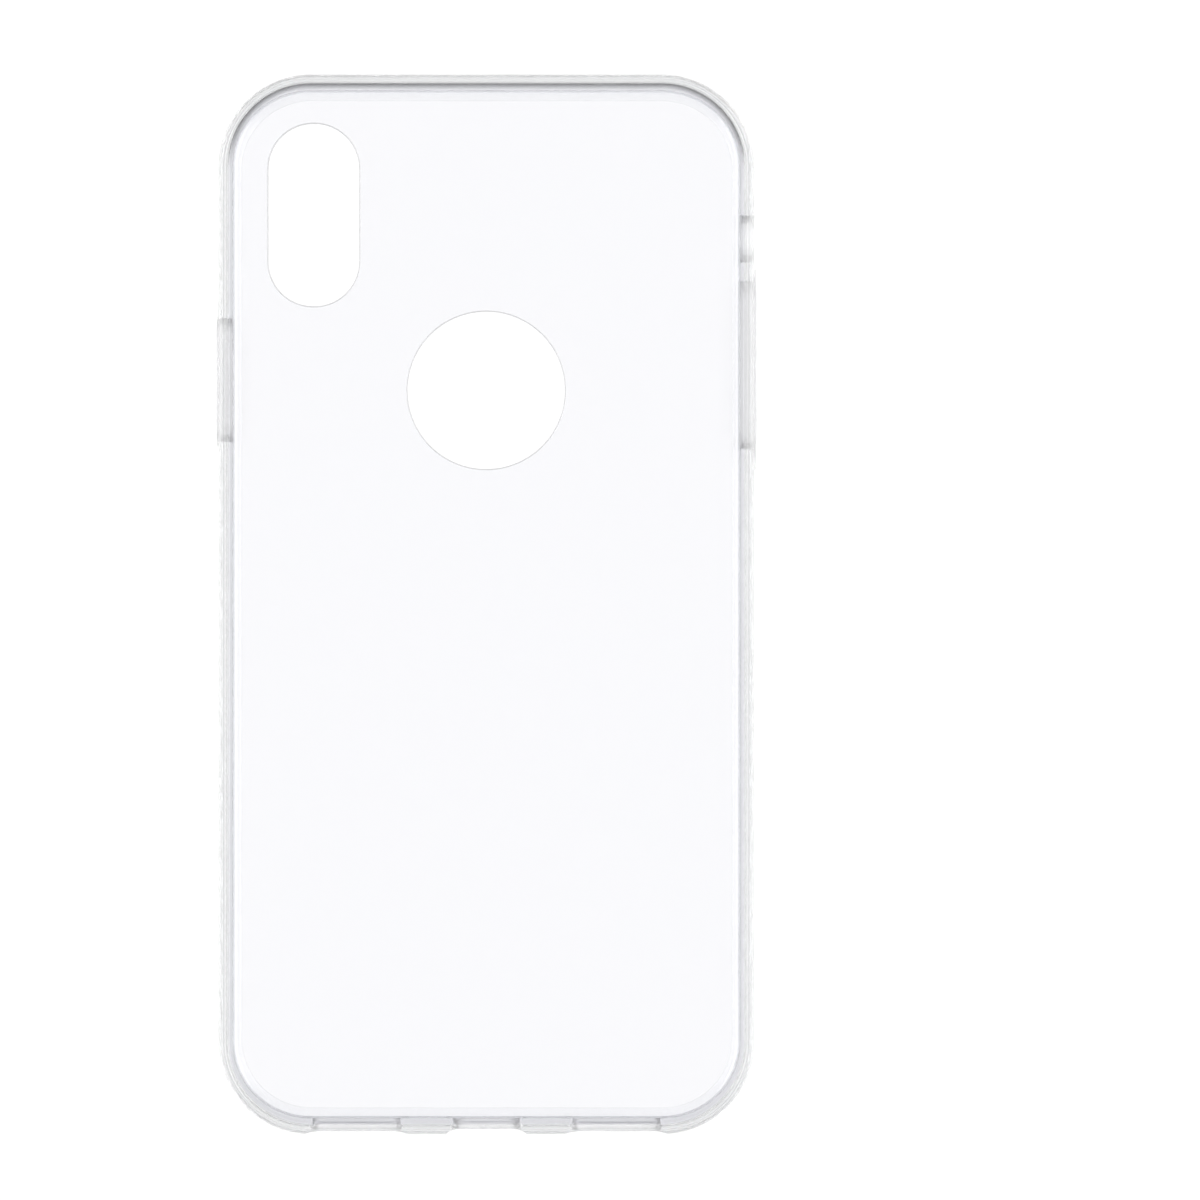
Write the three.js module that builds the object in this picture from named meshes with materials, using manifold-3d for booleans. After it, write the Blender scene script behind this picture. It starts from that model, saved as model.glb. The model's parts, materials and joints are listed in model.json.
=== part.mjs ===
// A clear, open-front phone case: a soft bumper frame around a flat back plate, with three covers that
// press the phone's side buttons. Units are millimetres. The case lies face down: +Z points out of its
// back, +Y towards the phone's top edge, and +X to the right as seen from behind. The origin is on the
// plane of the front lip, under the middle of the case.

import * as THREE from "three";
import { mergeVertices } from "three/addons/utils/BufferGeometryUtils.js";
import Module from "manifold-3d";

const wasm = await Module();
wasm.setup();

// ---- Driving dimensions ----

const CASE = { width: 75.1, length: 148.4, height: 9.7, radius: 13 };
const CASE_EDGE = { inward: 1.15, along: 3 }; // the wall's outside curves in towards both faces

// The phone is 70.9 x 143.6 x 7.7, so it has 0.15 to spare at each side and 0.1 in its thickness.
const CAVITY = { width: 71.2, length: 143.9, height: 7.8, radius: 11 };
const CAVITY_EDGE = { inward: 0.4, along: 2.2 }; // follows the phone's rounded sides

const LIP = { thickness: 1, overhang: 1.15 }; // over the edge of the phone's glass
const PLATE_SEAT = { rim: 1.3, ledge: 0.4 }; // width of wall around the plate, least height of its ledge
const PLATE_GAP = 0.1; // bond line around the plate

const CAMERA_HOLE = { x: -24.1, y: 54.4, width: 12.7, length: 25.5, radius: 6.3 };
const ROUND_HOLE = { x: 0, y: 29.9, radius: 11 };

const RIGHT = new THREE.Vector3(1, 0, 0);
const LEFT = new THREE.Vector3(-1, 0, 0);
const BOTTOM = new THREE.Vector3(0, -1, 0);
const UP = new THREE.Vector3(0, 0, 1);

// Each opening widens towards its mouth, over the outer part of the wall's thickness.
const MUTE = { wall: RIGHT, along: 51.2, length: 7, height: 5.2, mouthLength: 7.8, mouthHeight: 6.2, taper: 0.8 };
const PORT = { wall: BOTTOM, along: 0, length: 9.6, height: 5.4, mouthLength: 11.4, mouthHeight: 12.2, taper: 2 };
const SLOT = { wall: BOTTOM, length: 12.4, height: 3, mouthLength: 14.4, mouthHeight: 10.3, taper: 1.8 };
const SLOT_OFFSET = 18.2; // each speaker slot's centre from the middle of the bottom wall

const POWER = { wall: LEFT, surroundAt: 31.2, surroundLength: 18.4, coverAt: 31.4, coverLength: 15.6 };
const VOLUME = { wall: RIGHT, surroundAt: 33, surroundLength: 28.3, coverAt: 33.5, coverLength: 21.7 };
const VOLUME_SPLIT = 0.3; // groove between the two volume covers

const SURROUND = { height: 5.2, proud: 0.18, edge: 0.15 };
const COVER = { height: 3.4, proud: 0.31, edge: 0.25 };
const FLANGE = { margin: 0.7, thickness: 0.45 }; // behind the cover, wider than its window
const POCKET_DEPTH = 1; // in the inside of the wall, for the flange and the phone's key
const SLIDE_GAP = 0.25; // around a cover and its flange
const STOP_GAP = 0.1; // between a flange and the outer end of its pocket

const CORNER_STEPS = 5;
const EDGE_STEPS = 4;
const SIDE_STEPS = 3;
const HOLE_STEPS = 8;
const THROUGH = 3; // how far a cut runs past what it cuts

// ---- Derived planes ----

const ceiling = LIP.thickness + CAVITY.height;
const middle = CASE.height / 2;
const ledgeTop = ceiling + PLATE_SEAT.ledge;

// ---- Building blocks ----

/** A closed geometry as a solid that can be joined and cut. */
function solid(geometry) {
  geometry.deleteAttribute("normal");
  geometry.deleteAttribute("uv");
  const merged = mergeVertices(geometry, 1e-4);
  const vertProperties = merged.attributes.position.array;
  const triVerts = new Uint32Array(merged.index.array);
  return new wasm.Manifold(new wasm.Mesh({ numProp: 3, vertProperties, triVerts }));
}

/** A rectangle with round corners, centred on the origin. */
function roundedRect(width, length, radius) {
  const x = width / 2 - radius;
  const y = length / 2 - radius;
  const quarter = Math.PI / 2;
  const shape = new THREE.Shape();
  shape.absarc(x, y, radius, 0, quarter);
  shape.absarc(-x, y, radius, quarter, 2 * quarter);
  shape.absarc(-x, -y, radius, 2 * quarter, 3 * quarter);
  shape.absarc(x, -y, radius, 3 * quarter, 4 * quarter);
  return shape;
}

/** The extrusion of a shape from low to high along Z. Its two rims curve in by edge.inward over edge.along. */
function extrusion(shape, low, high, curveSegments, edge = { inward: 0, along: 0 }, bevelSegments = EDGE_STEPS) {
  const geometry = new THREE.ExtrudeGeometry(shape, {
    depth: high - low - 2 * edge.along,
    curveSegments,
    bevelEnabled: edge.along > 0,
    bevelThickness: edge.along,
    bevelSize: edge.inward,
    bevelOffset: -edge.inward,
    bevelSegments,
  });
  return geometry.translate(0, 0, low + edge.along);
}

/** A slab with the outline of the case, moved in by inset. */
function caseSlab(inset, low, high) {
  const outline = roundedRect(CASE.width - 2 * inset, CASE.length - 2 * inset, CASE.radius - inset);
  return solid(extrusion(outline, low, high, CORNER_STEPS));
}

/** A slab with the outline of the cavity, moved in by inset. */
function cavitySlab(inset, low, high) {
  const outline = roundedRect(CAVITY.width - 2 * inset, CAVITY.length - 2 * inset, CAVITY.radius - inset);
  return solid(extrusion(outline, low, high, CORNER_STEPS));
}

/** Distance from the middle of the case to the outermost line of a wall. */
function outerPlane(wall) {
  return (wall === BOTTOM ? CASE.length : CASE.width) / 2;
}

/** Distance from the middle of the case to the inside of a wall. */
function innerPlane(wall) {
  return (wall === BOTTOM ? CAVITY.length : CAVITY.width) / 2;
}

/** Turns a geometry drawn in XY to stand on a wall, at a place along it, with its Z pointing outward. */
function onWall(geometry, wall, along) {
  const sideways = new THREE.Vector3().crossVectors(UP, wall);
  const place = new THREE.Vector3(wall === BOTTOM ? along : 0, wall === BOTTOM ? 0 : along, middle);
  return geometry.applyMatrix4(new THREE.Matrix4().makeBasis(sideways, UP, wall).setPosition(place));
}

/** A block with round ends that stands on a wall, between two distances from the middle of the case. */
function wallBlock(wall, along, length, height, from, to, edge = 0) {
  const outline = roundedRect(length, height, height / 2);
  const round = { inward: edge, along: edge };
  return solid(onWall(extrusion(outline, from, to, SIDE_STEPS, round, 2), wall, along));
}

/** The cut for an opening in a wall: straight at first, then widening to its mouth. */
function openingCut(opening, along = opening.along) {
  const { wall, length, height, mouthLength, mouthHeight, taper } = opening;
  const outer = outerPlane(wall);
  const tunnel = wallBlock(wall, along, length, height, innerPlane(wall) - THROUGH, outer);
  const funnel = extrusion(roundedRect(length, height, height / 2), outer - taper, outer + taper, SIDE_STEPS);
  const points = funnel.attributes.position;
  for (let i = 0; i < points.count; i++) {
    const widening = Math.max(0, (points.getZ(i) - outer + taper) / taper);
    points.setX(i, points.getX(i) * (1 + widening * (mouthLength / length - 1)));
    points.setY(i, points.getY(i) * (1 + widening * (mouthHeight / height - 1)));
  }
  return tunnel.add(solid(onWall(funnel, wall, along)));
}

/** The named mesh of a solid, in the finish that all of the case shares. */
function mesh(name, body, color, roughness) {
  const { vertProperties, triVerts } = body.getMesh();
  const geometry = new THREE.BufferGeometry();
  geometry.setAttribute("position", new THREE.BufferAttribute(vertProperties, 3));
  geometry.setIndex(new THREE.BufferAttribute(triVerts, 1));
  geometry.computeVertexNormals();
  const finish = { color, roughness, metalness: 0, transparent: true, opacity: 0.35 };
  const made = new THREE.Mesh(geometry, new THREE.MeshStandardMaterial(finish));
  made.name = name;
  return made;
}

// ---- Bumper frame ----

/** The raised surround of a button cover. */
function buttonSurround({ wall, surroundAt, surroundLength }) {
  const outer = outerPlane(wall);
  const from = innerPlane(wall) + POCKET_DEPTH;
  return wallBlock(wall, surroundAt, surroundLength, SURROUND.height, from, outer + SURROUND.proud, SURROUND.edge);
}

/** The window that a cover slides in, with the wider pocket behind it for the flange. */
function buttonWindow({ wall, coverAt, coverLength }) {
  const inner = innerPlane(wall) - THROUGH;
  const clear = 2 * SLIDE_GAP;
  const wider = clear + 2 * FLANGE.margin;
  const outside = outerPlane(wall) + THROUGH;
  const window = wallBlock(wall, coverAt, coverLength + clear, COVER.height + clear, inner, outside);
  const pocketEnd = innerPlane(wall) + POCKET_DEPTH;
  return window.add(wallBlock(wall, coverAt, coverLength + wider, COVER.height + wider, inner, pocketEnd));
}

function bumperFrame() {
  const envelope = solid(
    extrusion(roundedRect(CASE.width, CASE.length, CASE.radius), 0, CASE.height, CORNER_STEPS, CASE_EDGE),
  );
  const cavity = solid(
    extrusion(
      roundedRect(CAVITY.width, CAVITY.length, CAVITY.radius),
      LIP.thickness,
      ceiling,
      CORNER_STEPS,
      CAVITY_EDGE,
    ),
  );
  const frontOpening = cavitySlab(LIP.overhang, -THROUGH, middle);
  const backOpening = cavitySlab(CAVITY_EDGE.inward, middle, CASE.height + THROUGH);
  const plateSeat = caseSlab(PLATE_SEAT.rim, ledgeTop, CASE.height + THROUGH);
  return envelope
    .add(buttonSurround(POWER))
    .add(buttonSurround(VOLUME))
    .subtract(cavity)
    .subtract(frontOpening)
    .subtract(backOpening)
    .subtract(plateSeat)
    .subtract(buttonWindow(POWER))
    .subtract(buttonWindow(VOLUME))
    .subtract(openingCut(MUTE))
    .subtract(openingCut(PORT))
    .subtract(openingCut(SLOT, -SLOT_OFFSET))
    .subtract(openingCut(SLOT, SLOT_OFFSET));
}

// ---- Back plate ----

/** A plate with a stepped edge: its narrow underside fills the frame's back opening, and its rim lies on the ledge. */
function backPanel() {
  const core = cavitySlab(CAVITY_EDGE.inward + PLATE_GAP, ceiling, CASE.height);
  const rim = caseSlab(PLATE_SEAT.rim + PLATE_GAP, ledgeTop + PLATE_GAP, CASE.height);
  const cameraOutline = roundedRect(CAMERA_HOLE.width, CAMERA_HOLE.length, CAMERA_HOLE.radius);
  const cameraHole = extrusion(cameraOutline, middle, CASE.height + THROUGH, HOLE_STEPS);
  const roundOutline = new THREE.Shape().absarc(0, 0, ROUND_HOLE.radius, 0, 2 * Math.PI);
  const roundHole = extrusion(roundOutline, middle, CASE.height + THROUGH, 3 * HOLE_STEPS);
  return core
    .add(rim)
    .subtract(solid(cameraHole.translate(CAMERA_HOLE.x, CAMERA_HOLE.y, 0)))
    .subtract(solid(roundHole.translate(ROUND_HOLE.x, ROUND_HOLE.y, 0)));
}

// ---- Button covers ----

/** The cap and its flange, which stops against the outer end of the pocket. */
function buttonCover({ wall, coverAt, coverLength }) {
  const flangeEnd = innerPlane(wall) + POCKET_DEPTH - STOP_GAP;
  const flangeStart = flangeEnd - FLANGE.thickness;
  const wider = 2 * FLANGE.margin;
  const face = outerPlane(wall) + COVER.proud;
  const cap = wallBlock(wall, coverAt, coverLength, COVER.height, flangeStart, face, COVER.edge);
  return cap.add(
    wallBlock(wall, coverAt, coverLength + wider, COVER.height + wider, flangeStart, flangeEnd),
  );
}

/** One end of the long volume cover: side is 1 for the upper half and -1 for the lower. */
function volumeHalf(side) {
  const reach = VOLUME.coverLength;
  const half = new THREE.BoxGeometry(CASE.width, reach, 2 * CASE.height);
  half.translate(CASE.width / 2, VOLUME.coverAt + (side * (reach + VOLUME_SPLIT)) / 2, 0);
  return buttonCover(VOLUME).intersect(solid(half));
}

// ---- Assembly ----

const TPU = 0xe9ebee;
const PLATE = 0xf3f5f8;

const phoneCase = new THREE.Group();
phoneCase.name = "phone_case";
phoneCase.add(mesh("bumper_frame", bumperFrame(), TPU, 0.16));
phoneCase.add(mesh("back_panel", backPanel(), PLATE, 0.06));
phoneCase.add(mesh("power_button_cover", buttonCover(POWER), TPU, 0.2));
phoneCase.add(mesh("volume_up_button_cover", volumeHalf(1), TPU, 0.2));
phoneCase.add(mesh("volume_down_button_cover", volumeHalf(-1), TPU, 0.2));

export default phoneCase;
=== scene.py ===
"""A clear phone case lying face down on a pale floor, seen from straight above.

Shapes are worked out in millimetres, in the CAD model's frame, and become meshes in metres. The case is a
soft bumper frame, a flat back plate set into it, and three button covers that slide in its side walls.
"""

import json
import math

import bmesh
import bpy
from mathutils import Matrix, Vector


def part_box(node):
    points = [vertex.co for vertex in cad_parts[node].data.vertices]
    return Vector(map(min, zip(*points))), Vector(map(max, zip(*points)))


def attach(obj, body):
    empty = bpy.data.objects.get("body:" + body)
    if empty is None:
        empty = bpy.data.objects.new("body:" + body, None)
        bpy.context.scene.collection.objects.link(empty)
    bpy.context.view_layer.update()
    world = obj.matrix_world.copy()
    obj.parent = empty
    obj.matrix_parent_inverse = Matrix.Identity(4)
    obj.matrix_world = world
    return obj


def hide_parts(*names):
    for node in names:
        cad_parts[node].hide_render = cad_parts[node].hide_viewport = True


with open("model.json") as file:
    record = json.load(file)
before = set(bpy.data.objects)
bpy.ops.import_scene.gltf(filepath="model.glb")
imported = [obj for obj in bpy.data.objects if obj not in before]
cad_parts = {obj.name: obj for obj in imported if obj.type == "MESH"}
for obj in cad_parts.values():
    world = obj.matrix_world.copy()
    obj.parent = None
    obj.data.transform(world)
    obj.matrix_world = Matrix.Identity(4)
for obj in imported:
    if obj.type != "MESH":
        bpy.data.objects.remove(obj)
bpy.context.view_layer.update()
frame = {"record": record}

MM = 0.001


# ---- Sizes, in millimetres ----


def node_box(node):
    """The lowest and highest corners of a CAD node."""
    return [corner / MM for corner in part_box(node)]


def opening_middle(name):
    """The middle of one of the record's openings."""
    boxes = {opening["name"]: opening["box_m"] for opening in frame["record"]["physics"]["openings"]}
    low, high = (Vector(corner) / MM for corner in boxes[name])
    return (low + high) / 2


SURROUND_PROUD = 0.18  # raised surrounds of the button covers
FRAME_HIGH = node_box("bumper_frame")[1]
PLATE_LOW, PLATE_HIGH = node_box("back_panel")
HALF_WIDTH = FRAME_HIGH.x - SURROUND_PROUD
HALF_LENGTH = FRAME_HIGH.y
HEIGHT = FRAME_HIGH.z
MIDDLE = HEIGHT / 2
LIP_THICKNESS = 1.0
CORNER = 13.0  # corner radius of the outline
CENTRE = {"x": HALF_WIDTH - CORNER, "y": HALF_LENGTH - CORNER}  # centre of the corner arc

# The outside and the inside of the wall both curve in, over a height of "along" at each rim.
OUTSIDE = {"inward": 1.15, "along": 3.0, "low": 0.0, "high": HEIGHT}
CAVITY = {"inward": 0.15, "along": 2.2, "low": LIP_THICKNESS, "high": PLATE_LOW.z}
WALL = {"side": 1.95, "end": 2.25}  # thickness at mid height
LIP_OVERHANG = 1.15
PLATE_RIM = 1.4  # width of the frame's face around the plate
LEDGE = 0.4  # least height of the ledge under the plate
LEDGE_REACH = 0.4  # how far the ledge stands out from the inside of the wall
PLATE_GAP = 0.1  # between the plate and the frame

CAMERA_HOLE = {
    "middle": opening_middle("camera_opening_long"),
    "half": (6.35, 12.75),
    "radius": 6.3,
    "points": 128,
}
ROUND_HOLE = {
    "middle": opening_middle("round_opening_middle"),
    "half": (11.0, 11.0),
    "radius": 10.999,
    "points": 160,
}

SIDES = {  # outward direction and the direction along the wall, anticlockwise from above
    "right": (Vector((1, 0)), Vector((0, 1))),
    "top": (Vector((0, 1)), Vector((-1, 0))),
    "left": (Vector((-1, 0)), Vector((0, -1))),
    "bottom": (Vector((0, -1)), Vector((1, 0))),
}


def straight_half(side):
    """Half the length of a wall's straight part."""
    return CENTRE["y"] if side in ("right", "left") else CENTRE["x"]


def wall_thickness(side):
    return WALL["side"] if side in ("right", "left") else WALL["end"]


def curve_in(edge, z):
    """How far a surface that curves in at both rims lies inside its widest line, at height z."""
    depth = max(edge["low"] + edge["along"] - z, z - edge["high"] + edge["along"], 0.0)
    share = min(depth / edge["along"], 1.0)
    return edge["inward"] * (1 - math.sqrt(1 - share * share))


# ---- Mesh building ----

# Points marked matte are also coloured darker grey by the tints, and half matte ones half as much: painted
# shade on the walls of holes, openings and button windows.
HALF_MATTE = -1.0  # what points on less glossy surfaces note in place of their distance inside the outline
MATTE = -2.0


class Body:
    """A mesh under construction: points in millimetres, and the faces that join them.

    Bonded faces are those moulded onto another piece.
    """

    def __init__(self):
        self.points = []
        self.insets = []
        self.faces = []
        self.bonded = []

    def ring(self, points, finish=None):
        """Adds points. Each notes how far inside the outline it lies, or the finish given instead."""
        first = len(self.points)
        self.points += points
        self.insets += [inset_of(point) if finish is None else finish for point in points]
        return list(range(first, len(self.points)))

    def bridge(self, one, two, bonded=False):
        """Joins two closed rings of the same length with quads."""
        faces = self.bonded if bonded else self.faces
        for i, a in enumerate(one):
            faces.append((one[i - 1], a, two[i], two[i - 1]))

    def loft(self, rings):
        made = [ring if isinstance(ring[0], int) else self.ring(ring) for ring in rings]
        for one, two in zip(made, made[1:]):
            self.bridge(one, two)
        return made

    def build(self, name, *materials):
        mesh = bpy.data.meshes.new(name)
        mesh.from_pydata([point * MM for point in self.points], [], self.faces + self.bonded)
        mesh.attributes.new("inset", "FLOAT", "POINT").data.foreach_set("value", self.insets)
        for face in list(mesh.polygons)[len(self.faces) :]:
            face.material_index = 1
        shell = bmesh.new()
        shell.from_mesh(mesh)
        bmesh.ops.delete(shell, geom=[v for v in shell.verts if not v.link_faces], context="VERTS")
        bmesh.ops.recalc_face_normals(shell, faces=shell.faces)
        shell.to_mesh(mesh)
        shell.free()
        mesh.shade_smooth()
        piece = bpy.data.objects.new(name, mesh)
        bpy.context.scene.collection.objects.link(piece)
        for material in materials:
            mesh.materials.append(material)
        return piece


FILLET_STEPS = 4


def soften(path, radii, steps=FILLET_STEPS):
    """Rounds the inner corners of a path of Vectors, each to its own radius."""
    rounded = [path[0]]
    for before, corner, after, radius in zip(path, path[1:], path[2:], radii):
        back, ahead = before - corner, after - corner
        start = corner + back.normalized() * min(radius, back.length * 0.49)
        end = corner + ahead.normalized() * min(radius, ahead.length * 0.49)
        for step in range(steps + 1):
            t = step / steps
            rounded.append(start.lerp(corner, t).lerp(corner.lerp(end, t), t))
    rounded.append(path[-1])
    return rounded


def spread(low, high, count):
    """count + 1 evenly spaced values from low to high."""
    return [low + (high - low) * i / count for i in range(count + 1)]


# ---- The walk round the outline ----


def station(side, u):
    """The centre and outward direction of the outline at u along a wall.

    Each wall goes on round half of the corner at either end of it.
    """
    outward, along = SIDES[side]
    half = straight_half(side)
    angle = math.copysign(max(abs(u) - half, 0.0) / CORNER, u)
    centre = outward * (CENTRE["x"] + CENTRE["y"] - half) + along * max(-half, min(half, u))
    return centre, outward * math.cos(angle) + along * math.sin(angle)


def at_station(side, u, side_inset, end_inset, z):
    """A point inside the outermost line of the case, by different amounts at the side and end walls."""
    centre, normal = station(side, u)
    reach = Vector((CORNER - side_inset, CORNER - end_inset))
    return Vector((centre.x + reach.x * normal.x, centre.y + reach.y * normal.y, z))


def on_wall(side, u, v, w):
    """A point at u along a wall, v above mid height and w outside the outermost line."""
    return at_station(side, u, -w, -w, MIDDLE + v)


def inset_of(point):
    """How far inside the outline a point lies, seen from above."""
    past = Vector((abs(point.x) - CENTRE["x"], abs(point.y) - CENTRE["y"]))
    if past.x <= 0 or past.y <= 0:
        return CORNER - max(past.x, past.y)
    return CORNER - past.length


SAME_PLACE = 1e-6


def wall_stations(side, windows, corner_steps, longest):
    """Positions along one wall, from the middle of one corner to the middle of the next.

    They are evenly spaced within each window, and elsewhere at most the longest step apart.
    """
    half = straight_half(side)
    end = half + CORNER * math.pi / 4
    marks = [(-end, None)]
    for window in windows:
        marks += [(window["from"], window["steps"]), (window["to"], None)]
    marks.append((end, None))
    stations = []
    for (low, steps), (high, _) in zip(marks, marks[1:]):
        if high - low < SAME_PLACE:
            continue
        if steps:
            stations += spread(low, high, steps)[:-1]
            continue
        cuts = [low, *(c for c in (-half, half) if low < c < high), high]
        for a, b in zip(cuts, cuts[1:]):
            bends = max(abs(a), abs(b)) > half
            count = math.ceil((b - a) / (CORNER * math.pi / 4 / corner_steps if bends else longest))
            stations += spread(a, b, max(count, 1))[:-1]
    return [(side, u) for u in stations]


# ---- Windows: holes through a wall, lofted from rounded loops ----

LEVELS = 28  # cells up the wall, outside and inside
OUTER_REACH = 4.84  # the levels' half height outside
INNER_REACH = 3.7  # and inside
LEVEL_CROWDING = 0.2  # how much closer together the outside levels lie where the wall curves in


def outer_level(t):
    """Height above the middle of an outside level, given as a share from -1 to 1 of the way up."""
    return OUTER_REACH * ((1 + LEVEL_CROWDING) * t - LEVEL_CROWDING * t**3)


def round_end(half):
    """The corner radius that makes an end round, which leaves a hair of straight edge between its corners."""
    return half - 0.01


def loop_point(half_u, half_v, radius, across, up):
    """The point of a rounded rectangle that faces (across, up), a point of the square from -1 to 1."""
    sideways = abs(across) >= abs(up)
    share = abs(up / across) if sideways else abs(across / up)
    straight = (half_v if sideways else half_u) - radius
    run = share * (straight + radius * math.pi / 4)
    angle = max(run - straight, 0.0) / radius
    near = (half_u if sideways else half_v) - radius * (1 - math.cos(angle))
    far = min(run, straight) + radius * math.sin(angle)
    u, v = (near, far) if sideways else (far, near)
    return math.copysign(u, across), math.copysign(v, up)


def loop_depth(side, height, v):
    """How far outside the outermost line a loop lies: a number, or on the wall's outer or inner surface."""
    if height == "outer":
        return -curve_in(OUTSIDE, MIDDLE + v)
    if height == "inner":
        return -wall_thickness(side) - curve_in(CAVITY, MIDDLE + v)
    return height


def window_rings(window, u, level):
    """The points from the outer surface to the inner one, from one vertex of the window's border."""
    side = window["side"]
    middle = (window["from"] + window["to"]) / 2
    across = (u - middle) / (window["to"] - window["from"]) * 2
    up = level / window["reach"]
    path = []
    for at, half_u, half_v, radius, height in window["loops"]:
        du, v = loop_point(half_u, half_v, radius, across, up)
        path.append(Vector((at + du, v, loop_depth(side, height, v))))
    path = soften(path, window["softness"])
    outer_v, inner_v = outer_level(level), level * INNER_REACH
    lead_in = []
    lead_out = []
    for share in spread(0, 1, LEAD)[1:-1]:
        v = outer_v + (path[0].y - outer_v) * share
        lead_in.append(Vector((u + (path[0].x - u) * share, v, loop_depth(side, "outer", v))))
        v = path[-1].y + (inner_v - path[-1].y) * share
        lead_out.append(Vector((path[-1].x + (u - path[-1].x) * share, v, loop_depth(side, "inner", v))))
    return [on_wall(side, *point) for point in [*lead_in, *path, *lead_out]]


def cut_window(body, window, grid, columns, outer_row, inner_row):
    """Fills a gap in the outer and inner surfaces with the window's sides."""
    first, last = columns
    low, high = window["levels"]
    border = [(c, low) for c in range(first, last)]
    border += [(last, k) for k in range(low, high)]
    border += [(c, high) for c in range(last, first, -1)]
    border += [(first, k) for k in range(high, low, -1)]
    paths = []
    for column, k in border:
        u = window["columns"][column - first]
        paths.append(window_rings(window, u, 2 * k / LEVELS - 1))
    rings = [[grid[column][outer_row(k)] for column, k in border]]
    for ring, finish in zip(zip(*paths), window["finishes"]):
        rings.append(body.ring(list(ring), finish))
    rings.append([grid[column][inner_row(k)] for column, k in border])
    body.loft(rings)


LEAD = 4  # steps from the wall's even grid to a window's first loop, and from its last one


def window(side, low, high, steps, reach, loops, softness, finish):
    """A window's place on its wall, and its loops from outside to inside.

    The softness is the radius of each loop's edge, and the finish is that of each loop.
    """
    cells = round(reach * LEVELS / 2)
    around = [None] * (LEAD - 1)
    finishes = [finish[0]]
    for one in finish[1:-1]:
        finishes += [one] * (FILLET_STEPS + 1)
    finishes.append(finish[-1])
    return {
        "side": side,
        "from": low,
        "to": high,
        "steps": steps,
        "reach": 2 * cells / LEVELS,
        "levels": (LEVELS // 2 - cells, LEVELS // 2 + cells),
        "columns": spread(low, high, steps),
        "loops": loops,
        "softness": softness,
        "finishes": around + finishes + around,
    }


def grown(loop, by, height):
    """A loop at the same place, larger all round."""
    at, half_u, half_v, radius, _ = loop
    return (at, half_u + by, half_v + by, radius + by, height)


OPENING_MARGINS = (0.05, 0.25)  # how far a window's first and last loops lie outside its edges
BUTTON_MARGINS = (0.1, 0.15)


def opening_window(side, at, opening, low, high, steps, reach):
    """An opening that widens towards its mouth."""
    half_u, half_v = opening["half"]
    edge = opening["edge"]
    outer = (at, *opening["mouth"], "outer")
    tunnel = (at, half_u, half_v, round_end(half_v), -opening["taper"])
    inner = (*tunnel[:4], "inner")
    first_margin, last_margin = OPENING_MARGINS
    first, last = grown(outer, edge + first_margin, "outer"), grown(inner, last_margin, "inner")
    loops = [first, outer, tunnel, inner, last]
    softness = [edge, 0.5, 0.2]
    finish = [None, None, HALF_MATTE, HALF_MATTE, None]
    return window(side, low, high, steps, reach, loops, softness, finish)


POCKET_DEPTH = 1.0  # in the inside of the wall, for a cover's flange
SLIDE_GAP = 0.25  # around a cover and its flange
FLANGE_MARGIN = 0.7  # how much wider a flange is than its cover, all round
COVER_HALF = 1.7  # half the height of a button cover
SURROUND_HALF = 2.6  # half the height of a raised surround
SURROUND_LEAN = 0.06  # how far its foot and its top lie outside and inside that
SURROUND_CORNERS = (2.6, 2.5)  # corner radius at its foot and at its top
BUTTON_REACH = 0.86  # share of the levels that a button's window or the mute opening takes up


def button_window(side, surround, cover_at, half_u, low, high, steps):
    """A raised surround with a window for a button cover, and a wider pocket behind it."""
    half_v = COVER_HALF
    wide = SLIDE_GAP + FLANGE_MARGIN
    pocket_floor = POCKET_DEPTH - wall_thickness(side)
    at, half = surround["at"], surround["half"]
    foot_corner, top_corner = SURROUND_CORNERS
    foot = (at, half + SURROUND_LEAN, SURROUND_HALF + SURROUND_LEAN, foot_corner, "outer")
    top = (at, half - SURROUND_LEAN, SURROUND_HALF - SURROUND_LEAN, top_corner, SURROUND_PROUD)
    rim = (cover_at, half_u + SLIDE_GAP, half_v + SLIDE_GAP, round_end(half_v + SLIDE_GAP), SURROUND_PROUD)
    back = (*rim[:4], pocket_floor)
    corner = (cover_at, half_u + wide, half_v + wide, round_end(half_v + wide), pocket_floor)
    mouth = (*corner[:4], "inner")
    first_margin, last_margin = BUTTON_MARGINS
    first, last = grown(foot, first_margin, "outer"), grown(mouth, last_margin, "inner")
    loops = [first, foot, top, rim, back, corner, mouth, last]
    softness = [0.08, 0.1, 0.15, 0.1, 0.2, 0.12]
    finish = [None, *[HALF_MATTE] * 4, MATTE, MATTE, None]
    return window(side, low, high, steps, BUTTON_REACH, loops, softness, finish)


# ---- Pieces ----


def cover_box(*nodes):
    """The middle and half length along Y of the cover that one or two CAD nodes make, without its flange."""
    boxes = [node_box(node) for node in nodes]
    low = min(low.y for low, _ in boxes)
    high = max(high.y for _, high in boxes)
    return (low + high) / 2, (high - low) / 2 - FLANGE_MARGIN


POWER_AT, POWER_HALF = cover_box("power_button_cover")
VOLUME_AT, VOLUME_HALF = cover_box("volume_up_button_cover", "volume_down_button_cover")
MUTE_AT = opening_middle("mute_switch_opening").y

# Half length and half height of each opening; the same and a corner radius at its mouth; how deep
# the mouth's slope goes; and the radius of its edge.
MUTE = {"half": (3.35, 2.5), "mouth": (3.6, 2.9, round_end(2.9)), "taper": 0.7, "edge": 0.15}
SLOT = {"half": (6.2, 1.5), "mouth": (7.2, 4.3, 1.9), "taper": 1.8, "edge": 0.15}
PORT = {"half": (4.8, 2.7), "mouth": (5.6, 4.76, 1.6), "taper": 1.9, "edge": 0.03}
SLOT_OFFSET = 18.2  # each speaker slot's middle from the middle of the bottom wall
POWER_SURROUND = {"at": -31.2, "half": 9.2}
VOLUME_SURROUND = {"at": 33.0, "half": 14.15}
VOLUME_END = 47.38  # where the volume surround's stretch of wall ends and the mute opening's begins

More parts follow.
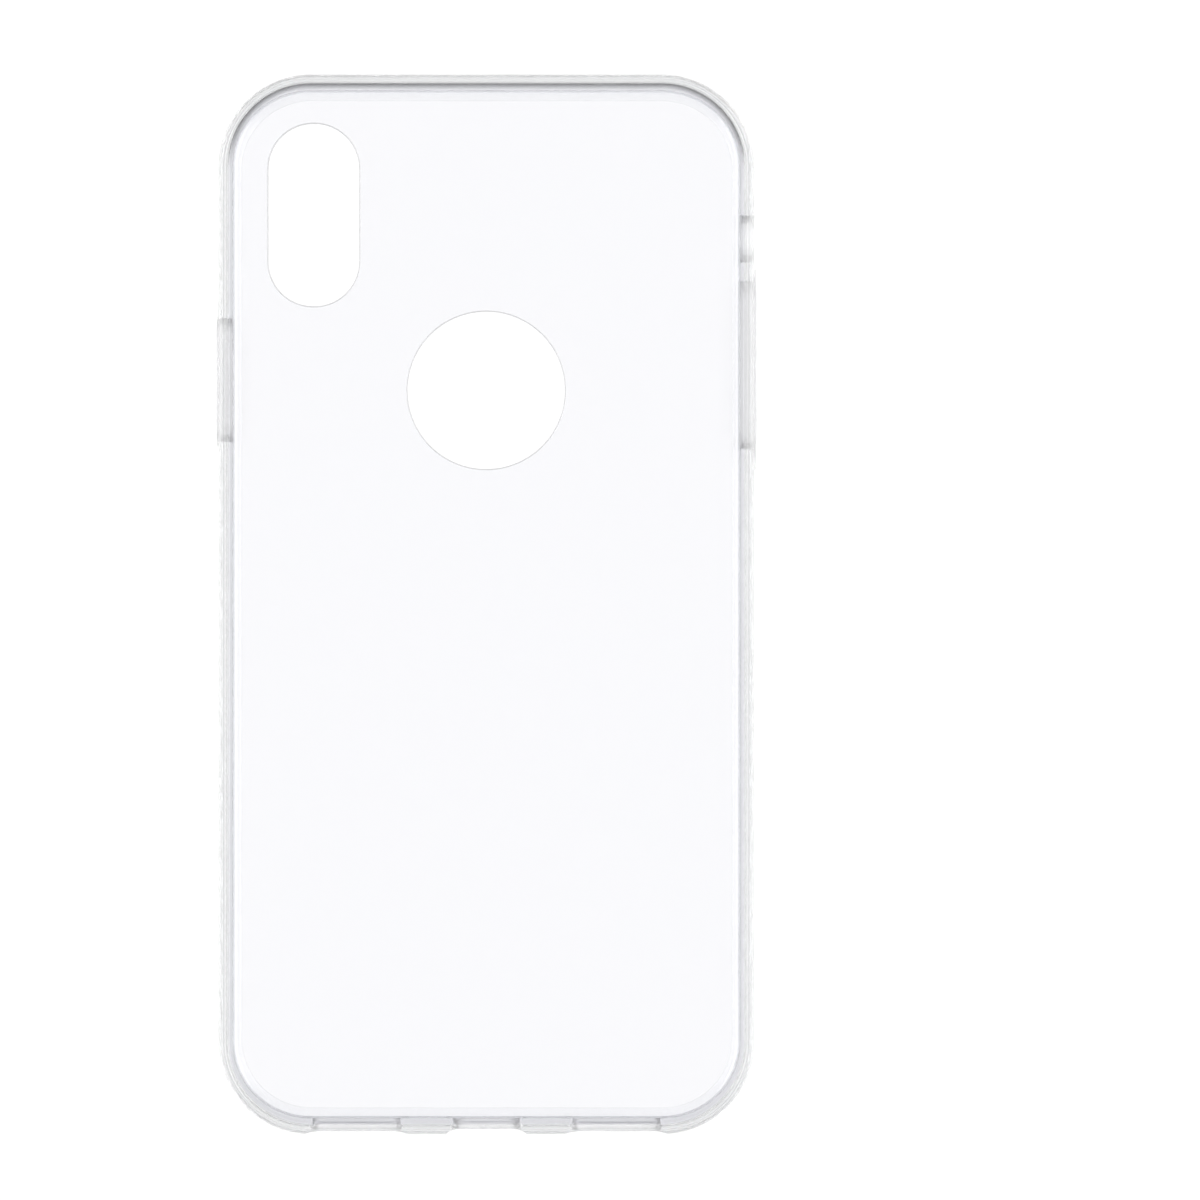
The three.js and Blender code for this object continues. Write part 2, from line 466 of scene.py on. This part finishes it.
WINDOWS = [
    button_window("left", POWER_SURROUND, -POWER_AT, POWER_HALF, low=-41.2, high=-21.2, steps=48),
    button_window("right", VOLUME_SURROUND, VOLUME_AT, VOLUME_HALF, low=18.3, high=VOLUME_END, steps=68),
    opening_window("right", MUTE_AT, MUTE, low=VOLUME_END, high=55.4, steps=24, reach=BUTTON_REACH),
    opening_window("bottom", -SLOT_OFFSET, SLOT, low=-26.0, high=-10.4, steps=40, reach=1.0),
    opening_window("bottom", 0.0, PORT, low=-6.6, high=6.6, steps=36, reach=1.0),
    opening_window("bottom", SLOT_OFFSET, SLOT, low=10.4, high=26.0, steps=40, reach=1.0),
]


def rim_curve(edge, z_from, z_to, steps):
    """Insets and heights along a rim's quarter ellipse, between two heights."""
    towards_high = (z_from + z_to) / 2 > MIDDLE
    start = edge["high"] - edge["along"] if towards_high else edge["low"] + edge["along"]
    sign = 1 if towards_high else -1
    angles = [math.asin(max(0.0, min(1.0, sign * (z - start) / edge["along"]))) for z in (z_from, z_to)]
    curve = []
    for angle in spread(*angles, steps):
        curve.append((edge["inward"] * (1 - math.cos(angle)), start + sign * edge["along"] * math.sin(angle)))
    return curve


RIM_STEPS = 2
CAVITY_TOP_STEPS = 6
CAVITY_FOOT_STEPS = 8
LIP_STEPS = 6
SEAT_SOFTNESS = [0.12, 0.1, 0.1, 0.06]  # radii of the edges from the rim down to the plate's ledge
LIP_SOFTNESS = [0.3, 0.4]


def frame_section():
    """The frame's closed section as points of side inset, end inset and height.

    It comes with the row where its inner levels start and with its bonded rows. Its outer levels come first.
    """

    def outside(inset, z):
        return Vector((inset, inset, z))

    def inside(inset, z):
        return Vector((WALL["side"] + inset, WALL["end"] + inset, z))

    levels = spread(-1, 1, LEVELS)
    outer = [MIDDLE + outer_level(t) for t in levels]
    inner = [MIDDLE + INNER_REACH * t for t in levels]
    section = [outside(curve_in(OUTSIDE, z), z) for z in outer]
    section += [outside(*point) for point in rim_curve(OUTSIDE, outer[-1], HEIGHT, RIM_STEPS)[1:]]
    cavity_top = rim_curve(CAVITY, inner[-1], CAVITY["high"], CAVITY_TOP_STEPS)
    seat = [
        section[-1],
        outside(PLATE_RIM, HEIGHT),
        outside(PLATE_RIM, CAVITY["high"] + LEDGE),
        inside(LEDGE_REACH, CAVITY["high"] + LEDGE),
        inside(LEDGE_REACH, CAVITY["high"]),
        inside(*cavity_top[-2]),
    ]
    seat = soften(seat, SEAT_SOFTNESS)[1:-1]
    bonded_rows = range(len(section) + FILLET_STEPS, len(section) + len(seat) - 1)
    section += seat
    section += [inside(*point) for point in reversed(cavity_top[1:-1])]
    inner_start = len(section)
    section += [inside(curve_in(CAVITY, z), z) for z in reversed(inner)]
    cavity_foot = rim_curve(CAVITY, inner[0], CAVITY["low"], CAVITY_FOOT_STEPS)
    section += [inside(*point) for point in cavity_foot[1:]]
    lip = [
        section[-1],
        inside(LIP_OVERHANG, CAVITY["low"]),
        inside(LIP_OVERHANG, 0),
        outside(OUTSIDE["inward"] + 0.1, 0),
    ]
    section += soften(lip, LIP_SOFTNESS, LIP_STEPS)[1:]
    section += [outside(*point) for point in rim_curve(OUTSIDE, 0, outer[0], RIM_STEPS)[:-1]]
    return section, inner_start, bonded_rows


FRAME_CORNER_STEPS = 28  # round half of a corner
FRAME_STEP = 6.0  # the longest step along a straight wall


def frame_walk():
    """The stations round the frame, and where each window's columns are among them."""
    stations = []
    columns = {}
    for side in SIDES:
        mine = sorted((w for w in WINDOWS if w["side"] == side), key=lambda w: w["from"])
        walk = wall_stations(side, mine, FRAME_CORNER_STEPS, FRAME_STEP)
        for one in mine:
            first = next(i for i, (_, u) in enumerate(walk) if abs(u - one["from"]) < SAME_PLACE)
            columns[id(one)] = (len(stations) + first, len(stations) + first + one["steps"])
        stations += walk
    return stations, columns


def bumper_frame(material, bond_material):
    section, inner_start, bonded_rows = frame_section()
    stations, columns = frame_walk()
    body = Body()
    grid = []
    for side, u in stations:
        grid.append(body.ring([at_station(side, u, *point) for point in section]))

    def outer_row(k):
        return k

    def inner_row(k):
        return inner_start + LEVELS - k

    gaps = set()
    for one in WINDOWS:
        first, last = columns[id(one)]
        low, high = one["levels"]
        for column in range(first, last):
            gaps |= {(column, outer_row(k)) for k in range(low, high)}
            gaps |= {(column, inner_row(k + 1)) for k in range(low, high)}
    rows = len(section)
    for column in range(len(grid)):
        here, there = grid[column], grid[(column + 1) % len(grid)]
        for row in range(rows):
            if (column, row) not in gaps:
                up = (row + 1) % rows
                faces = body.bonded if row in bonded_rows else body.faces
                faces.append((here[row], there[row], there[up], here[up]))
    for one in WINDOWS:
        cut_window(body, one, grid, columns[id(one)], outer_row, inner_row)
    return body.build("bumper_frame_shell", material, bond_material)


def rounded_loop(hole, grow, z):
    """Points round a hole in plan, larger all round by the amount given."""
    half_x, half_y = (half + grow for half in hole["half"])
    radius = hole["radius"] + grow
    middle = hole["middle"]
    points = []
    quarter = hole["points"] // 4
    for i in range(hole["points"]):
        side, share = divmod(i, quarter)
        t = 2 * share / quarter - 1
        across, up = [(1, t), (-t, 1), (-1, -t), (t, -1)][side]
        x, y = loop_point(half_x, half_y, radius, across, up)
        points.append(Vector((middle.x + x, middle.y + y, z)))
    return points


PLATE_CORNER_STEPS = 24
PLATE_STEP = 200.0  # longer than any wall, so the straight edges stay whole
PLATE_SOFTNESS = [0.1, 0.06, 0.06, 0.1]
PLATE_MARGIN = 0.5  # width of the band round the plate that keeps the shading of its edge in place
HOLE_EDGE = 0.22  # how far the rounding of a hole's edge reaches
HOLE_STEPS = 5


def plate_outline():
    walk = []
    for side in SIDES:
        walk += wall_stations(side, [], PLATE_CORNER_STEPS, PLATE_STEP)
    return walk


def back_panel(material, bond_material):
    body = Body()
    walk = plate_outline()
    low, high = PLATE_LOW.z, PLATE_HIGH.z
    rim = PLATE_RIM + PLATE_GAP
    core_side = WALL["side"] + LEDGE_REACH + PLATE_GAP
    core_end = WALL["end"] + LEDGE_REACH + PLATE_GAP
    step = low + LEDGE + PLATE_GAP
    edge = [
        Vector((rim + PLATE_MARGIN, rim + PLATE_MARGIN, high)),
        Vector((rim, rim, high)),
        Vector((rim, rim, step)),
        Vector((core_side, core_end, step)),
        Vector((core_side, core_end, low)),
        Vector((core_side + PLATE_MARGIN, core_end + PLATE_MARGIN, low)),
    ]
    edge = soften(edge, PLATE_SOFTNESS)
    outline = []
    for point in edge:
        outline.append(body.ring([at_station(side, u, *point) for side, u in walk]))
    for row, (one, two) in enumerate(zip(outline, outline[1:])):
        body.bridge(one, two, bonded=FILLET_STEPS < row < len(outline) - 2)
    tops = [outline[0]]
    bottoms = [outline[-1]]
    for hole in (CAMERA_HOLE, ROUND_HOLE):
        margin = HOLE_EDGE + 0.1
        profile = [
            Vector((margin, 0, high)),
            Vector((0, 0, high)),
            Vector((0, 0, low)),
            Vector((margin, 0, low)),
        ]
        profile = soften(profile, [HOLE_EDGE, HOLE_EDGE], HOLE_STEPS)
        made = []
        for i, point in enumerate(profile):
            loop = rounded_loop(hole, point.x, point.z)
            made.append(body.ring(loop, MATTE if 0 < i < len(profile) - 1 else None))
        body.loft(made)
        tops.append(made[0])
        bottoms.append(made[-1])
    piece = body.build("back_panel_plate", material, bond_material)
    fill_faces(piece, [tops, bottoms])
    return piece


def fill_faces(piece, groups):
    """Fills the flat faces between an outline and the holes in it."""
    mesh = piece.data
    shell = bmesh.new()
    shell.from_mesh(mesh)
    shell.verts.ensure_lookup_table()
    for rings in groups:
        edges = []
        for ring in rings:
            for i, vertex in enumerate(ring):
                edges.append(shell.edges.get((shell.verts[ring[i - 1]], shell.verts[vertex])))
        bmesh.ops.triangle_fill(shell, use_beauty=True, use_dissolve=False, edges=edges)
    bmesh.ops.recalc_face_normals(shell, faces=shell.faces)
    shell.to_mesh(mesh)
    shell.free()
    mesh.shade_smooth()


COVER_PROUD = 0.31
FLANGE_THICKNESS = 0.45
STOP_GAP = 0.1  # between a flange and the outer end of its pocket
GROOVE = 0.3  # between the two volume covers
SQUARE_CORNER = 0.3  # corner radius of a cover's square end
PAD_STEPS = 8
CROWN = [(1.45, 0.0), (1.1, 0.01), (0.7, 0.035), (0.4, 0.065), (0.0, 0.09)]  # inset, and the drop there
COVER_SOFTNESS = [0.3, 0.08, 0.1, 0.1]
FOOT_INSET = 1.2  # how far the flange's inner face is worked inwards before it is filled


def pad_loop(low, high, half_v, low_radius, high_radius):
    """A rounded rectangle as (u, v) points, with its own corner radius at each end."""
    points = []
    corners = [
        (high, 1, high_radius),
        (low, 1, low_radius),
        (low, -1, low_radius),
        (high, -1, high_radius),
    ]
    for quarter, (end, up, radius) in enumerate(corners):
        inward = -1 if end == high else 1
        for step in range(PAD_STEPS + 1):
            angle = (quarter + step / PAD_STEPS) * math.pi / 2
            u = end + inward * radius + radius * math.cos(angle)
            points.append((u, up * (half_v - radius) + radius * math.sin(angle)))
    return points


def button_cover(name, side, low, high, low_round, high_round, material):
    """A cap on a flange. Each end is round, with the flange past it, or square and level with the flange."""
    body = Body()
    cap_foot = POCKET_DEPTH - wall_thickness(side) - STOP_GAP
    flange_foot = cap_foot - FLANGE_THICKNESS
    # Each point is how far inside an outline, how far out, and which outline: 0 the cap's, 1 the flange's.
    crown = [Vector((inset, COVER_PROUD - drop, 0)) for inset, drop in CROWN]
    foot = [
        Vector((0, cap_foot, 0)),
        Vector((0, cap_foot, 1)),
        Vector((0, flange_foot, 1)),
        Vector((FOOT_INSET, flange_foot, 1)),
    ]
    path = crown[:-2] + soften([*crown[-2:], *foot], COVER_SOFTNESS)
    rings = []
    for inset, w, wide in path:
        margin = FLANGE_MARGIN * wide - inset
        spare = -min(inset, 1.0)
        a = low - (margin if low_round else spare)
        b = high + (margin if high_round else spare)
        half_v = COVER_HALF + margin
        full = round_end(half_v)
        radii = [full if is_round else min(SQUARE_CORNER, full) for is_round in (low_round, high_round)]
        rings.append([on_wall(side, u, v, w) for u, v in pad_loop(a, b, half_v, *radii)])
    made = body.loft(rings)
    body.faces += [tuple(made[0]), tuple(reversed(made[-1]))]
    return body.build(name, material)


# ---- Materials ----


def unseen_by_lamps(nodes, links):
    """1 for the rays that light the floor, which pass straight through, and 0 for the rest."""
    path = nodes.new("ShaderNodeLightPath")
    unseen = nodes.new("ShaderNodeMath")
    unseen.operation = "MAXIMUM"
    links.new(path.outputs["Is Shadow Ray"], unseen.inputs[0])
    links.new(path.outputs["Is Diffuse Ray"], unseen.inputs[1])
    return unseen.outputs["Value"]


def add_depth(material, colour, density):
    """Thick plastic looks darker than thin: light fades along its way through it."""
    nodes, links = material.node_tree.nodes, material.node_tree.links
    depth = nodes.new("ShaderNodeVolumeAbsorption")
    depth.inputs["Color"].default_value = (*colour, 1)
    depth.inputs["Density"].default_value = density
    mix = nodes.new("ShaderNodeMixShader")
    links.new(unseen_by_lamps(nodes, links), mix.inputs["Fac"])
    links.new(depth.outputs["Volume"], mix.inputs[1])
    links.new(mix.outputs["Shader"], nodes["Material Output"].inputs["Volume"])


def scaled(nodes, links, source, low, high, from_value, to_value, smooth=False):
    """A number that goes from one value to another as its source goes from low to high."""
    ramp = nodes.new("ShaderNodeMapRange")
    ramp.interpolation_type = "SMOOTHSTEP" if smooth else "LINEAR"
    for name, value in (("From Min", low), ("From Max", high), ("To Min", from_value), ("To Max", to_value)):
        ramp.inputs[name].default_value = value
    links.new(source, ramp.inputs["Value"])
    return ramp.outputs["Result"]


def inset_socket(nodes):
    depth = nodes.new("ShaderNodeAttribute")
    depth.attribute_name = "inset"
    return depth.outputs["Fac"]


def bond(name, depth):
    """Where the plate is moulded onto the frame, light passes between them without a surface."""
    material = bpy.data.materials.new(name)
    material.use_nodes = True
    nodes, links = material.node_tree.nodes, material.node_tree.links
    nodes.remove(nodes["Principled BSDF"])
    through = nodes.new("ShaderNodeBsdfTransparent")
    links.new(through.outputs["BSDF"], nodes["Material Output"].inputs["Surface"])
    add_depth(material, **depth)
    return material


# Painted shade on the bond between plate and frame: a dark band inside the top end, and slight shade along
# the sides.
SIDE_PAINTED_SHADE = {"to": 1.9, "light": (1.0, 0.92)}  # painted shade on the bond: share of light let through, from its outer side to this inset
TOP_PAINTED_SHADE = {"to": 2.25, "light": (0.22, 1.0)}
TOP_PAINTED_SHADE_FROM = (60, 66)  # where along the case the sides' painted shade goes over into the top end's


def paint_shade_on_bond(material):
    """Paints shade on the bond: slightly darker inwards along the sides, and a dark band along the top end,
    darkest at its outer side.
    """
    nodes, links = material.node_tree.nodes, material.node_tree.links
    place = nodes.new("ShaderNodeTexCoord")
    split = nodes.new("ShaderNodeSeparateXYZ")
    links.new(place.outputs["Object"], split.inputs["Vector"])
    inset = inset_socket(nodes)
    side = scaled(nodes, links, inset, PLATE_RIM, SIDE_PAINTED_SHADE["to"], *SIDE_PAINTED_SHADE["light"], smooth=True)
    end = scaled(nodes, links, inset, PLATE_RIM, TOP_PAINTED_SHADE["to"], *TOP_PAINTED_SHADE["light"])
    share = scaled(nodes, links, split.outputs["Y"], *(y * MM for y in TOP_PAINTED_SHADE_FROM), 0, 1, smooth=True)
    painted_shade = nodes.new("ShaderNodeMix")
    links.new(share, painted_shade.inputs["Factor"])
    links.new(side, painted_shade.inputs["A"])
    links.new(end, painted_shade.inputs["B"])
    open_to = nodes.new("ShaderNodeMath")
    open_to.operation = "MAXIMUM"
    links.new(painted_shade.outputs["Result"], open_to.inputs[0])
    links.new(unseen_by_lamps(nodes, links), open_to.inputs[1])
    through = next(node for node in nodes if node.type == "BSDF_TRANSPARENT")
    links.new(open_to.outputs["Value"], through.inputs["Color"])


def colour_ramp(nodes, links, source, stops):
    """A colour that goes from stop to stop. Each stop is a value of the source, and the colour there."""
    first, last = stops[0][0], stops[-1][0]
    ramp = nodes.new("ShaderNodeValToRGB")
    elements = ramp.color_ramp.elements
    while len(elements) > 1:
        elements.remove(elements[0])
    elements[0].position = 0
    elements[0].color = (*stops[0][1], 1)
    for at, colour in stops[1:]:
        elements.new((at - first) / (last - first)).color = (*colour, 1)
    links.new(scaled(nodes, links, source, first, last, 0, 1), ramp.inputs["Fac"])
    return ramp.outputs["Color"]


FROSTED_TO = (0.7, 1.35)  # the frame's outside is slightly frosted, up to here from its outline
FLOW = {"scale": 90, "detail": 2, "distance": 0.1}  # ripples from moulding, and their height
SKIN = {"scale": 2600, "detail": 3, "distance": 0.01}


def noise(nodes, links, place, texture):
    """A noise texture on the piece."""
    made = nodes.new("ShaderNodeTexNoise")
    made.inputs["Scale"].default_value = texture["scale"]
    made.inputs["Detail"].default_value = texture["detail"]
    links.new(place, made.inputs["Vector"])
    return made.outputs["Fac"]


def bump(nodes, links, height, texture, strength):
    """A bump of a texture's height."""
    made = nodes.new("ShaderNodeBump")
    made.inputs["Strength"].default_value = strength
    made.inputs["Distance"].default_value = texture["distance"] * MM
    links.new(height, made.inputs["Height"])
    return made


def clear_plastic(name, tints, clarity, roughness, ripple, grain, depth):
    """Clear moulded plastic: faint flow ripples, a fine skin texture and slightly uneven gloss.

    The tints go by inset, and their darker greys are painted shade. The clarity is that of matte surfaces, of
    the frosted outside and of the inside.
    """
    material = bpy.data.materials.new(name)
    material.use_nodes = True
    nodes, links = material.node_tree.nodes, material.node_tree.links
    shader = nodes["Principled BSDF"]
    shader.inputs["IOR"].default_value = 1.5
    links.new(colour_ramp(nodes, links, inset_socket(nodes), tints), shader.inputs["Base Color"])
    matte, outside, inside = clarity
    towards_inside = scaled(nodes, links, inset_socket(nodes), *FROSTED_TO, outside, inside)
    smoothest = scaled(nodes, links, inset_socket(nodes), MATTE, 0, matte, inside)
    clearness = nodes.new("ShaderNodeMath")
    clearness.operation = "MINIMUM"
    links.new(towards_inside, clearness.inputs[0])
    links.new(smoothest, clearness.inputs[1])
    links.new(clearness.outputs["Value"], shader.inputs["Transmission Weight"])

    place = nodes.new("ShaderNodeTexCoord").outputs["Object"]
    flow = noise(nodes, links, place, FLOW)
    skin = noise(nodes, links, place, SKIN)
    links.new(scaled(nodes, links, flow, 0, 1, *roughness), shader.inputs["Roughness"])
    wave = bump(nodes, links, flow, FLOW, ripple)
    fine = bump(nodes, links, skin, SKIN, grain)
    links.new(wave.outputs["Normal"], fine.inputs["Normal"])
    links.new(fine.outputs["Normal"], shader.inputs["Normal"])

    clear = nodes.new("ShaderNodeBsdfTransparent")
    mix = nodes.new("ShaderNodeMixShader")
    links.new(unseen_by_lamps(nodes, links), mix.inputs["Fac"])
    links.new(shader.outputs["BSDF"], mix.inputs[1])
    links.new(clear.outputs["BSDF"], mix.inputs[2])
    links.new(mix.outputs["Shader"], nodes["Material Output"].inputs["Surface"])
    add_depth(material, **depth)
    return material


# ---- Studio ----

FLOOR_RADIUS = 7.0  # in metres
FLOOR_POINTS = 96
FLOOR_GAP = 0.02  # under the case


def floor(material):
    mesh = bpy.data.meshes.new("floor")
    points = []
    for i in range(FLOOR_POINTS):
        turn = 2 * math.pi * i / FLOOR_POINTS
        points.append((FLOOR_RADIUS * math.cos(turn), FLOOR_RADIUS * math.sin(turn), 0))
    mesh.from_pydata(points, [], [tuple(range(FLOOR_POINTS))])
    mesh.materials.append(material)
    piece = bpy.data.objects.new("floor", mesh)
    piece.location.z = -FLOOR_GAP * MM
    bpy.context.scene.collection.objects.link(piece)


def floor_material():
    material = bpy.data.materials.new("pale_floor")
    material.use_nodes = True
    shader = material.node_tree.nodes["Principled BSDF"]
    shader.inputs["Base Color"].default_value = (0.9, 0.9, 0.9, 1)
    shader.inputs["Roughness"].default_value = 1.0
    shader.inputs["Specular IOR Level"].default_value = 0.0
    return material


# Sine of the elevation, and how bright the sky is there.
SKY = [(0.0, 1.0), (0.03, 1.0), (0.08, 0.3), (0.55, 0.3), (0.75, 0.46), (1.0, 0.46)]


def sky():
    world = bpy.data.worlds.new("studio")
    bpy.context.scene.world = world
    world.use_nodes = True
    nodes, links = world.node_tree.nodes, world.node_tree.links
    place = nodes.new("ShaderNodeTexCoord")
    split = nodes.new("ShaderNodeSeparateXYZ")
    links.new(place.outputs["Generated"], split.inputs["Vector"])
    glow = colour_ramp(nodes, links, split.outputs["Z"], [(at, (value, value, value)) for at, value in SKY])
    links.new(glow, nodes["Background"].inputs["Color"])


def studio_light(name, direction, size, strength):
    """A large soft light, far away in the given direction, and size degrees across."""
    light = bpy.data.lights.new(name, "SUN")
    light.angle = math.radians(size)
    light.energy = strength
    lamp = bpy.data.objects.new(name, light)
    lamp.rotation_euler = (-Vector(direction)).to_track_quat("-Z", "Y").to_euler()
    bpy.context.scene.collection.objects.link(lamp)


PICTURE_WIDTH = 168.3  # what the camera sees at the case
CASE_IN_PICTURE = Vector((-15.9, -0.6))  # the case's middle, from the middle of the picture
LENS = 300
SENSOR = 36


def camera():
    """A long lens straight above, a little to one side of the case."""
    data = bpy.data.cameras.new("camera")
    data.lens = LENS
    data.sensor_width = SENSOR
    distance = PICTURE_WIDTH * data.lens / data.sensor_width
    eye = bpy.data.objects.new("camera", data)
    eye.location = Vector((-CASE_IN_PICTURE.x, -CASE_IN_PICTURE.y, MIDDLE + distance)) * MM
    bpy.context.scene.collection.objects.link(eye)
    bpy.context.scene.camera = eye


# ---- The case in its studio ----


def add(piece, body, slot, *nodes):
    """Puts a piece on the body that it moves with, in place of its CAD nodes."""
    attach(piece, body)
    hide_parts(*nodes)


SOFT = (0.98, 0.985, 0.99)
# Painted shade: the frame is coloured darker from 0.4 to 1.8 mm inside the outline, darkest from 0.8 to 1.4
# mm.
SOFT_PAINTED_SHADE = (0.82, 0.825, 0.83)
# Painted shade: the matte walls of the button windows and openings are coloured darker grey.
SOFT_MATTE_PAINTED_SHADE = (0.76, 0.76, 0.77)
SOFT_DEPTH = {"colour": (0.0, 0.02, 0.04), "density": 15.0}
soft_clear = clear_plastic(
    "soft_clear_plastic",
    tints=[(MATTE, SOFT_MATTE_PAINTED_SHADE), (0, SOFT), (0.4, SOFT), (0.8, SOFT_PAINTED_SHADE), (1.4, SOFT_PAINTED_SHADE), (1.8, SOFT)],
    clarity=(0.35, 0.7, 0.95),
    roughness=(0.03, 0.07),
    ripple=0.01,
    grain=0.03,
    depth=SOFT_DEPTH,
)
# The soft bond carries the painted shade.
soft_bond_painted_shade = bond("soft_bond_painted_shade", SOFT_DEPTH)
paint_shade_on_bond(soft_bond_painted_shade)

HARD = (0.955, 0.955, 0.975)
# Painted shade: the matte walls of the plate's holes are coloured darker grey.
HARD_MATTE_PAINTED_SHADE = (0.6, 0.6, 0.61)
HARD_DEPTH = {"colour": (0.0, 0.0, 0.4), "density": 8.0}
hard_clear = clear_plastic(
    "hard_clear_plastic",
    tints=[(MATTE, HARD_MATTE_PAINTED_SHADE), (0, HARD)],
    clarity=(0.2, 0.99, 0.99),
    roughness=(0.0, 0.02),
    ripple=0.01,
    grain=0.01,
    depth=HARD_DEPTH,
)
hard_bond = bond("hard_bond", HARD_DEPTH)

add(bumper_frame(soft_clear, soft_bond_painted_shade), "shell", "clear_flexible", "bumper_frame")
add(back_panel(hard_clear, hard_bond), "shell", "clear_plate", "back_panel")

power_low, power_high = -POWER_AT - POWER_HALF, -POWER_AT + POWER_HALF
power = button_cover("power_button_pad", "left", power_low, power_high, True, True, soft_clear)
add(power, "power_button", "clear_flexible", "power_button_cover")

split = (node_box("volume_up_button_cover")[0].y + node_box("volume_down_button_cover")[1].y) / 2
volume_low, volume_high = VOLUME_AT - VOLUME_HALF, VOLUME_AT + VOLUME_HALF
up = button_cover("volume_up_pad", "right", split + GROOVE / 2, volume_high, False, True, soft_clear)
down = button_cover("volume_down_pad", "right", volume_low, split - GROOVE / 2, True, False, soft_clear)
add(up, "volume_up_button", "clear_flexible", "volume_up_button_cover")
add(down, "volume_down_button", "clear_flexible", "volume_down_button_cover")

floor(floor_material())
sky()
studio_light("left_light", (-0.6, 0.0, 0.85), 50, 1.5)
studio_light("right_light", (0.6, 0.0, 0.85), 50, 1.5)
camera()
bpy.context.scene.view_settings.view_transform = "Standard"
